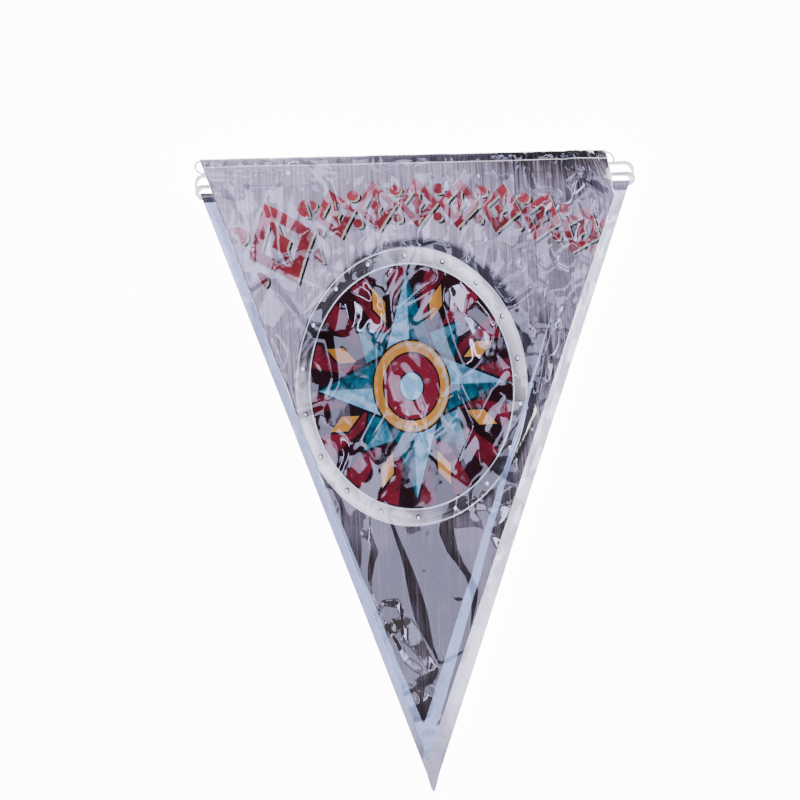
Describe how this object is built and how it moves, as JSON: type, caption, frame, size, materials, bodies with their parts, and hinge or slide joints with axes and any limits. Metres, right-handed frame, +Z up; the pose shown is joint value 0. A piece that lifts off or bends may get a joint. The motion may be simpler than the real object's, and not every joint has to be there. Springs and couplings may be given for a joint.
{
  "type": "folded pennant bunting",
  "caption": "Line of triangular film pennants folded back and forth into a flat pile, with its cord tucked under the front flag's top edge.",
  "frame": {"origin": "on the surface, under the middle of the flags' box", "axes": "+Z up from the surface; +Y from the tips to the hems; +X along the hems, to the right of someone who reads the front flag"},
  "size_m": [0.2218, 0.3205, 0.0196],
  "materials": {
    "pennant_print": "glossy printed sheet",
    "pennant_reverse": "plain satin reverse of the printed sheet",
    "line_cord": "matt twisted string"
  },
  "bodies": {
    "root": {"pennant_01": "pennant_reverse", "pennant_02": "pennant_print", "pennant_03": "pennant_reverse", "pennant_04": "pennant_print", "pennant_05": "pennant_reverse", "pennant_06": "pennant_print", "pennant_07": "pennant_reverse", "pennant_08": "pennant_print", "pennant_09": "pennant_reverse", "pennant_10": "pennant_print", "line_hairpin_1": "line_cord", "line_hairpin_2": "line_cord", "line_hairpin_3": "line_cord", "line_hairpin_4": "line_cord", "line_hairpin_5": "line_cord", "line_hairpin_6": "line_cord", "line_hairpin_7": "line_cord", "line_hairpin_8": "line_cord", "line_hairpin_9": "line_cord", "line_tail_back": "line_cord", "line_tail_front": "line_cord"}
  },
  "joints": []
}
